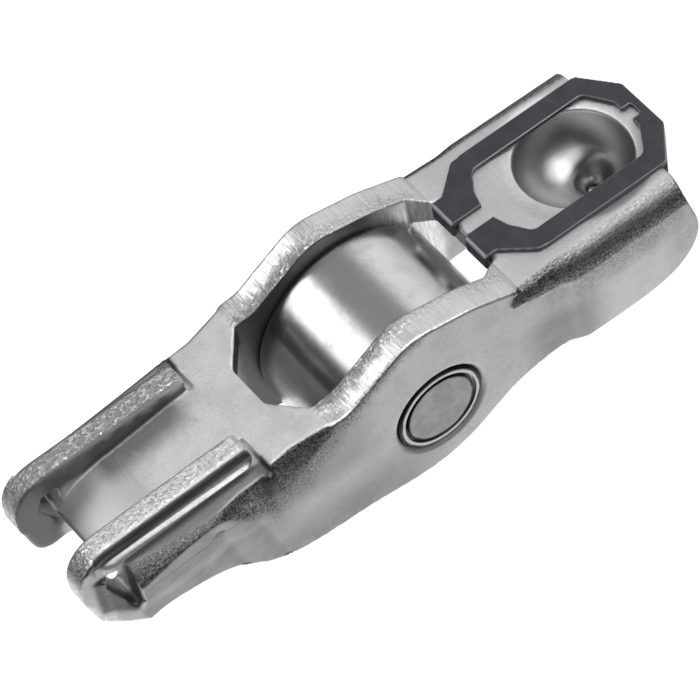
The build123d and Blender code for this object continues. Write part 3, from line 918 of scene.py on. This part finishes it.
@dataclass
class PressedLever:
    """The lever's dressed shape: the CAD sheet with softened edges and marks of its pressing.

    All sizes are in millimetres round the axle.
    """

    node: str = "lever_body"
    voxel: float = 0.13
    smoothing_rounds: int = 3
    triangle_limit: int = 190_000
    web_start: float = 8.75
    window_corner: float = -9.6
    window_corner_z: float = 6.85
    web_slope: float = 0.138
    wall_inner: float = 5.06
    wall_outer: float = 7.66
    flange_outer: float = 5.5
    flange_back: float = -15.6
    ledge_front: float = -28.3
    ledge_front_z: float = 4.85
    ledge_back_z: float = 5.5
    ledge_drop: float = 4.7
    bend_power: float = 1.4
    bend_runs: tuple[tuple[float, float, float], ...] = (
        (-28.3, 1.8, 1.6),
        (-25.4, 1.2, 0.9),
        (-23.4, 0.9, 0.5),
        (-21.4, 0.6, 0.4),
        (-20.5, 0.6, 0.5),
        (-19.7, 0.7, 1.2),
        (-18.8, 0.8, 2.3),
        (-18.0, 0.9, 3.2),
        (-17.0, 0.9, 4.0),
        (-15.6, 0.9, 3.8),
        (-13.0, 1.06, 2.6),
        (-11.0, 0.7, 1.5),
        (-9.6, 0.4, 0.9),
    )
    bend_rounds: int = 3
    press_search: float = 3.0
    press_halvings: int = 24
    press_limit: float = 1.6
    joggle_lines: tuple[float, float] = (-19.9, -16.9)
    joggle_width: float = 0.55
    joggle_depth: float = 0.16
    chin_rounds: int = 160
    bead_rise: float = 0.55
    bead_height: float = 0.55
    bead_reach: float = 0.75
    rollover: float = 0.45
    rollover_start: float = 4.85
    socket_x: float = 20.1
    socket_z: float = 7.795
    socket_radius: float = 5.0
    pocket_x: float = 21.4
    pocket_reach: float = 2.7
    pocket_top: float = 4.3
    pocket_floor: float = 1.4
    pocket_rounds: int = 150

    def build(self, finish: TumbledSheet) -> bpy.types.Object:
        """Build, mark and dress the lever.

        Args:
            finish: The sheet's finish.

        Returns:
            The piece that stands for the CAD lever.
        """
        piece = merged_copy(self.node, "pressed_lever")
        apply_modifier(piece, "REMESH", mode="VOXEL", voxel_size=self.voxel * MM, use_smooth_shade=True)
        apply_modifier(piece, "SMOOTH", factor=0.5, iterations=self.smoothing_rounds)
        self.round_pocket(piece)
        bend = self.press_bends(piece)
        self.score_joggle(piece)
        self.raise_bead(piece)
        store(piece, Mask.BEND, bend)
        thin_out(piece, self.triangle_limit)
        self.mark(piece)
        piece.data.materials.append(finish.material())
        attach(piece, LEVER_BODY)
        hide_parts(self.node)
        log.info("pressed lever: %d triangles", triangles(piece))
        return piece

    def round_pocket(self, piece: bpy.types.Object) -> None:
        """Smooth the oil pocket in the socket's floor into a soft dimple.

        Args:
            piece: The lever.
        """
        at = points(piece)
        reach = np.hypot(at[:, 0] - self.pocket_x, at[:, 1])
        share = rise(reach, self.pocket_reach, self.pocket_reach - 0.5) * (at[:, 2] > self.pocket_floor)
        share = share * rise(at[:, 2], self.pocket_top, self.pocket_top - 0.4)
        soften(piece, share, self.pocket_rounds)

    def ledge_height(self, x: np.ndarray) -> np.ndarray:
        """Height of the valve end's outer ledge, and behind the relief slot of its web.

        Args:
            x: Places along the lever.

        Returns:
            The heights there, in millimetres.
        """
        run = (x - self.ledge_front) / (self.flange_back - self.ledge_front)
        ledge = self.ledge_front_z + run * (self.ledge_back_z - self.ledge_front_z)
        web = self.window_corner_z + (x - self.window_corner) * self.web_slope
        return np.where(x < self.flange_back + 0.3, ledge, web)

    def press_bends(self, piece: bpy.types.Object) -> np.ndarray:
        """Press the valve end's outer corners to the bends' real run, with crisp creases.

        Args:
            piece: The lever.

        Returns:
            The share of bend at each point.
        """
        at, facing = points(piece), normals(piece)
        x, z, side = at[:, 0], at[:, 2], np.abs(at[:, 1])
        sign = np.sign(at[:, 1])
        out, up = sign * facing[:, 1], facing[:, 2]
        runs = np.array(self.bend_runs)
        width = np.interp(x, runs[:, 0], runs[:, 1])
        depth = np.interp(x, runs[:, 0], runs[:, 2])
        top = self.ledge_height(x)
        span = self.wall_outer - self.flange_outer - 0.1
        length = math.hypot(span, self.ledge_drop)
        way_out, way_up = span / length, self.ledge_drop / length

        def excess(shift: np.ndarray) -> np.ndarray:
            """Say how far points moved along the bend's diagonal lie outside the wanted corner.

            Args:
                shift: How far each point is moved outwards, in millimetres.

            Returns:
                A positive number outside the corner and a negative one inside.
            """
            run_out = np.clip(side + shift * way_out - (self.wall_outer - width), 0.0, None) / width
            run_up = np.clip(z + shift * way_up - (top - depth), 0.0, None) / depth
            return run_out ** self.bend_power + run_up ** self.bend_power - 1.0

        low, high = np.full(len(x), -self.press_search), np.full(len(x), self.press_search)
        for _ in range(self.press_halvings):
            middle = (low + high) / 2
            outside = excess(middle) > 0
            high = np.where(outside, middle, high)
            low = np.where(outside, low, middle)
        shift = (low + high) / 2

        inside = (side > self.flange_outer + 0.1) & (z < top + 0.25) & (z > top - self.ledge_drop)
        outer = inside & ((out > 0.1) | (up > 0.25)) & (out > -0.2) & (up > -0.3)
        outer = outer & (np.abs(facing[:, 0]) < 0.85)
        ends = rise(x, -28.9, -28.3) * rise(x, -9.2, -9.9)
        slot = 1.0 - rise(x, self.flange_back - 0.1, self.flange_back + 0.05) * rise(
            x, self.flange_back + 0.75, self.flange_back + 0.5)
        near = np.where(x < self.flange_back, at[:, 1] < 0, True)
        fade = rise(z, top - self.ledge_drop, top - self.ledge_drop + 0.8)
        share = outer * ends * slot * (np.abs(shift) < self.press_limit) * near * fade
        moved = at.copy()
        moved[:, 1] += sign * shift * way_out * share
        moved[:, 2] += shift * way_up * share
        place_points(piece, moved)
        run_out = (np.abs(moved[:, 1]) - (self.wall_outer - width)) / width
        run_up = (moved[:, 2] - (top - depth)) / depth
        strength = np.where(near, 1.0, 0.3)
        bend = outer * ends * rise(run_out, -0.02, 0.12) * rise(run_up, -0.05, 0.25) * strength
        soften(piece, outer * rise(z, top - self.ledge_drop, top - self.ledge_drop + 0.4), self.bend_rounds)
        return bend

    def score_joggle(self, piece: bpy.types.Object) -> None:
        """Press the two shallow lines into the outer walls where the sheet steps in towards the valve end.

        Args:
            piece: The lever.
        """
        at, facing = points(piece), normals(piece)
        x, side, sign = at[:, 0], np.abs(at[:, 1]), np.sign(at[:, 1])
        outer = (sign * facing[:, 1] > 0.7) & (side > 7.3)
        below = rise(at[:, 2], 4.6, 3.4)
        for place in self.joggle_lines:
            run = (x - place + 0.25 * at[:, 2]) / self.joggle_width
            at[:, 1] -= sign * self.joggle_depth * np.exp(-run**2) * outer * below
        place_points(piece, at)

    def raise_bead(self, piece: bpy.types.Object) -> None:
        """Swell the foot of each guide flange's outer face into a bead, roll its top over and round the chin.

        Args:
            piece: The lever.
        """
        at, facing = points(piece), normals(piece)
        x, side, sign = at[:, 0], np.abs(at[:, 1]), np.sign(at[:, 1])
        height = at[:, 2] - self.ledge_height(x) - self.bead_height
        round_off = np.sqrt(np.clip(1.0 - (height / self.bead_reach) ** 2, 0.0, 1.0))
        face = (np.abs(side - self.flange_outer) < 0.3) & (sign * facing[:, 1] > 0.35)
        ends = rise(x, -30.5, -29.0) * rise(x, self.flange_back + 0.1, self.flange_back - 0.9)
        at[:, 1] += sign * self.bead_rise * round_off * face * ends
        run = np.clip((side - self.rollover_start) / (self.flange_outer - self.rollover_start), 0.0, 1.0)
        on_flange = (side < self.flange_outer + 0.3) & (x < self.flange_back + 0.2) & (x > -30.5)
        at[:, 2] -= self.rollover * run**2 * rise(at[:, 2], 5.9, 6.8) * on_flange
        place_points(piece, at)
        foot = rise(np.abs(side - self.flange_outer), 0.9, 0.3) * (x < self.flange_back + 0.3)
        foot = foot * (at[:, 2] > 4.0)
        soften(piece, foot, 3)
        chin = rise(x, -28.0, -29.0) * rise(side, 3.2, 3.6) * rise(at[:, 2], 2.4, 1.2)
        soften(piece, chin, self.chin_rounds)

    def mark(self, piece: bpy.types.Object) -> None:
        """Work out where the sheet is bent, cut, torn or polished, and where shade and highlights are
        painted, and keep it as masks.

        Args:
            piece: The lever, with the share of pressed bend in its bend mask.
        """
        attributes = piece.data.attributes
        pressed = np.empty(len(piece.data.vertices), dtype=np.float32)
        attributes[Mask.BEND.value].data.foreach_get("value", pressed)
        attributes.remove(attributes[Mask.BEND.value])
        marks = SheetMarks(self, SheetPoints.of(piece))
        for mask, values in (
            (Mask.BEND, marks.bent(pressed)),
            (Mask.DARK, marks.deep_painted_shade()),
            (Mask.DULL, marks.soft_painted_shade()),
            (Mask.EDGE, marks.rubbed_and_highlit()),
            (Mask.SHEARED, marks.sheared()),
            (Mask.TORN, marks.torn()),
            (Mask.BURNISHED, marks.burnished_pad()),
            (Mask.SOCKET, marks.burnished_socket()),
        ):
            store(piece, mask, values)


@dataclass
class RollerSet:
    """The cam roller with its axle pin and needles, which keep their CAD shapes."""

    needle_prefix: str = "needle_"

    def build(self) -> None:
        """Dress the roller, the pin and the needles."""
        nodes = frame["nodes"]
        self.dress(nodes["roller"], GroundSteel("ground_roller_steel").material())
        self.dress(nodes["axle_pin"], StakedPinSteel().material())
        bright = GroundSteel("polished_needle_steel", roughness=0.16).material()
        for name, node in nodes.items():
            if name.startswith(self.needle_prefix):
                self.dress(node, bright)
        log.info("roller, pin and needles dressed")

    def dress(self, node: bpy.types.Object, material: bpy.types.Material) -> None:
        """Give a CAD node one material."""
        node.data.materials.clear()
        node.data.materials.append(material)


@dataclass
class BallClip:
    """The spring clip over the socket, with rolled edges.

    Sizes are in millimetres.
    """

    node: str = "retaining_clip"
    voxel: float = 0.1
    smoothing_rounds: int = 2
    triangle_limit: int = 90_000
    wear_and_highlight_share: float = 0.8

    def build(self, finish: BlackSpringSteel) -> bpy.types.Object:
        """Build and dress the clip.

        Args:
            finish: The strip's finish.

        Returns:
            The piece that stands for the CAD clip.
        """
        piece = merged_copy(self.node, "ball_clip")
        apply_modifier(piece, "REMESH", mode="VOXEL", voxel_size=self.voxel * MM, use_smooth_shade=True)
        apply_modifier(piece, "SMOOTH", factor=0.5, iterations=self.smoothing_rounds)
        thin_out(piece, self.triangle_limit)
        facing = normals(piece)
        tilt = np.maximum(np.abs(facing[:, 0]), np.abs(facing[:, 1]))
        # painted highlight on the upward-facing rounded edges, partly standing for wear
        upper_edges = rise(facing[:, 2], 0.2, 0.4) * rise(tilt, 0.35, 0.6)
        store(piece, Mask.EDGE, self.wear_and_highlight_share * upper_edges)
        piece.data.materials.append(finish.material())
        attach(piece, LEVER_BODY)
        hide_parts(self.node)
        log.info("ball clip: %d triangles", triangles(piece))
        return piece


@dataclass(frozen=True)
class Softbox:
    """One soft studio light, placed by direction from the object.

    Azimuth 0 lies beyond the object along +Y and 90 along +X; angles are in degrees and sizes in metres.
    Radiance 1 looks white in a perfect mirror. A floor wash lights nothing but the floor.
    """

    name: str
    azimuth: float
    elevation: float
    distance: float
    width: float
    height: float
    radiance: float
    floor_wash: bool = False

    def build(self, target: Vector) -> bpy.types.Object:
        """Make the light, turned to a target.

        Args:
            target: The point that it shines at.

        Returns:
            The light object.
        """
        azimuth, elevation = math.radians(self.azimuth), math.radians(self.elevation)
        flat = math.cos(elevation)
        away = Vector((math.sin(azimuth) * flat, math.cos(azimuth) * flat, math.sin(elevation)))
        data = bpy.data.lights.new(self.name, "AREA")
        data.shape = "RECTANGLE"
        data.size, data.size_y = self.width, self.height
        data.energy = math.pi * self.width * self.height * self.radiance
        light = bpy.data.objects.new(self.name, data)
        light.rotation_mode = "QUATERNION"
        light.location = target + away * self.distance
        light.rotation_quaternion = away.to_track_quat("Z", "Y")
        light.visible_camera = False
        light.visible_glossy = not self.floor_wash
        data.use_shadow = not self.floor_wash
        bpy.context.scene.collection.objects.link(light)
        return light


@dataclass(frozen=True)
class Flag:
    """A black card that stands on the floor in front and is only seen in reflections. Sizes in metres."""

    name: str = "front_flag"
    colour: Colour = (0.01, 0.01, 0.01, 1.0)
    roughness: float = 0.9
    y: float = -0.05
    width: float = 0.4
    height: float = 0.075

    def build(self, middle_x: float, floor_z: float) -> bpy.types.Object:
        """Stand the card on the floor.

        Args:
            middle_x: Place of its middle along X.
            floor_z: Height of the floor.

        Returns:
            The card.
        """
        bpy.ops.object.select_all(action="DESELECT")
        bpy.ops.mesh.primitive_plane_add(size=1.0)
        card = bpy.context.active_object
        card.name = self.name
        stand = Matrix.Translation((middle_x, self.y, floor_z + self.height / 2))
        stand = stand @ Matrix.Rotation(math.radians(90.0), 4, "X")
        card.data.transform(stand @ Matrix.Diagonal((self.width, self.height, 1.0, 1.0)))
        s = Shader("black_card")
        card.data.materials.append(s.finish(Base_Color=self.colour, Roughness=self.roughness))
        card.visible_camera = False
        card.visible_shadow = False
        return card


@dataclass
class Studio:
    """Pale floor, soft lights and the camera at the photograph's angle."""

    camera_place: tuple[float, float, float] = (-0.112941, -0.187327, 0.278558)
    camera_azimuth: float = 25.667
    camera_elevation: float = 53.783
    camera_roll: float = -13.673
    lens_pixels: float = 4500.1
    frame_pixels: float = 700.0
    sensor: float = 36.0
    floor_size: float = 3.0
    floor_gap: float = 0.0002
    softboxes: tuple[Softbox, ...] = (
        Softbox("left_softbox", -43.0, 39.0, 0.6, 0.26, 0.3, 2.3),
        Softbox("right_softbox", 54.0, 27.0, 0.6, 0.4, 0.46, 0.75),
        Softbox("rear_card", 0.0, 62.0, 1.2, 3.0, 1.8, 0.22),
        Softbox("key_softbox", 122.0, 60.0, 0.6, 0.46, 0.46, 1.9),
        Softbox("top_softbox", 180.0, 77.0, 1.0, 1.1, 1.1, 1.6),
        Softbox("floor_wash", 0.0, 88.0, 1.0, 1.6, 1.6, 3.0, floor_wash=True),
    )
    flag: Flag = Flag()
    backdrop: float = 1.0
    ambience: float = 0.05
    bounce: float = 1.2
    bounce_low: float = -0.78
    bounce_high: float = -0.5

    def build(self) -> None:
        """Make the floor, the lights, the world and the camera."""
        low, high = cad_box
        target = (low + high) / 2
        floor_height = low.z - self.floor_gap
        floor = self.build_floor(floor_height, target)
        self.flag.build(target.x, floor_height)
        washed = bpy.data.collections.new("washed_floor")
        washed.objects.link(floor)
        spared = bpy.data.collections.new("spared_floor")
        spared.objects.link(floor)
        spared.collection_objects[0].light_linking.link_state = "EXCLUDE"
        for softbox in self.softboxes:
            light = softbox.build(target)
            light.light_linking.receiver_collection = washed if softbox.floor_wash else spared
        self.build_world()
        self.build_camera()
        bpy.context.scene.view_settings.view_transform = "Standard"

    def build_floor(self, height: float, target: Vector) -> bpy.types.Object:
        """Lay the floor just below the object, unseen by reflections.

        Args:
            height: Height of the floor.
            target: Middle of the object.

        Returns:
            The floor.
        """
        bpy.ops.object.select_all(action="DESELECT")
        bpy.ops.mesh.primitive_plane_add(size=self.floor_size, location=(target.x, target.y, height))
        floor = bpy.context.active_object
        floor.name = "studio_floor"
        floor.data.transform(floor.matrix_world)
        floor.matrix_world = Matrix.Identity(4)
        floor.data.materials.append(PaleFloor().material())
        floor.visible_glossy = False
        return floor

    def build_world(self) -> None:
        """Light the surroundings: a dim room over a bright floor in reflections, and a pale backdrop."""
        world = bpy.data.worlds.new("studio")
        bpy.context.scene.world = world
        world.use_nodes = True
        tree = world.node_tree
        background = tree.nodes["Background"]
        path = tree.nodes.new("ShaderNodeLightPath")
        direction = tree.nodes.new("ShaderNodeTexCoord")
        parts = tree.nodes.new("ShaderNodeSeparateXYZ")
        tree.links.new(direction.outputs["Generated"], parts.inputs[0])
        room = tree.nodes.new("ShaderNodeMapRange")
        room.interpolation_type = "SMOOTHSTEP"
        tree.links.new(parts.outputs["Z"], room.inputs["Value"])
        room.inputs["From Min"].default_value = self.bounce_high
        room.inputs["From Max"].default_value = self.bounce_low
        room.inputs["To Min"].default_value = self.ambience
        room.inputs["To Max"].default_value = self.bounce
        level = tree.nodes.new("ShaderNodeMix")
        level.data_type = "FLOAT"
        tree.links.new(room.outputs["Result"], level.inputs[2])
        level.inputs[3].default_value = self.backdrop
        tree.links.new(path.outputs["Is Camera Ray"], level.inputs[0])
        tree.links.new(level.outputs[0], background.inputs["Strength"])
        background.inputs["Color"].default_value = (1.0, 1.0, 1.0, 1.0)

    def build_camera(self) -> None:
        """Put the camera where the photograph was taken from."""
        data = bpy.data.cameras.new("camera")
        data.sensor_width = self.sensor
        data.lens = self.sensor * self.lens_pixels / self.frame_pixels
        camera = bpy.data.objects.new("camera", data)
        azimuth, elevation = math.radians(self.camera_azimuth), math.radians(self.camera_elevation)
        flat = math.cos(elevation)
        look = Vector((math.sin(azimuth) * flat, math.cos(azimuth) * flat, -math.sin(elevation)))
        level = look.to_track_quat("-Z", "Y")
        roll = Quaternion((0.0, 0.0, 1.0), math.radians(self.camera_roll))
        camera.rotation_mode = "QUATERNION"
        camera.rotation_quaternion = level @ roll
        camera.location = self.camera_place
        bpy.context.scene.collection.objects.link(camera)
        bpy.context.scene.camera = camera


def main() -> None:
    """Dress every piece in order and set up the studio."""
    logging.basicConfig(level=logging.INFO, format="%(name)s: %(message)s")
    PressedLever().build(TumbledSheet())
    RollerSet().build()
    BallClip().build(BlackSpringSteel())
    Studio().build()


if __name__ == "__main__":
    main()
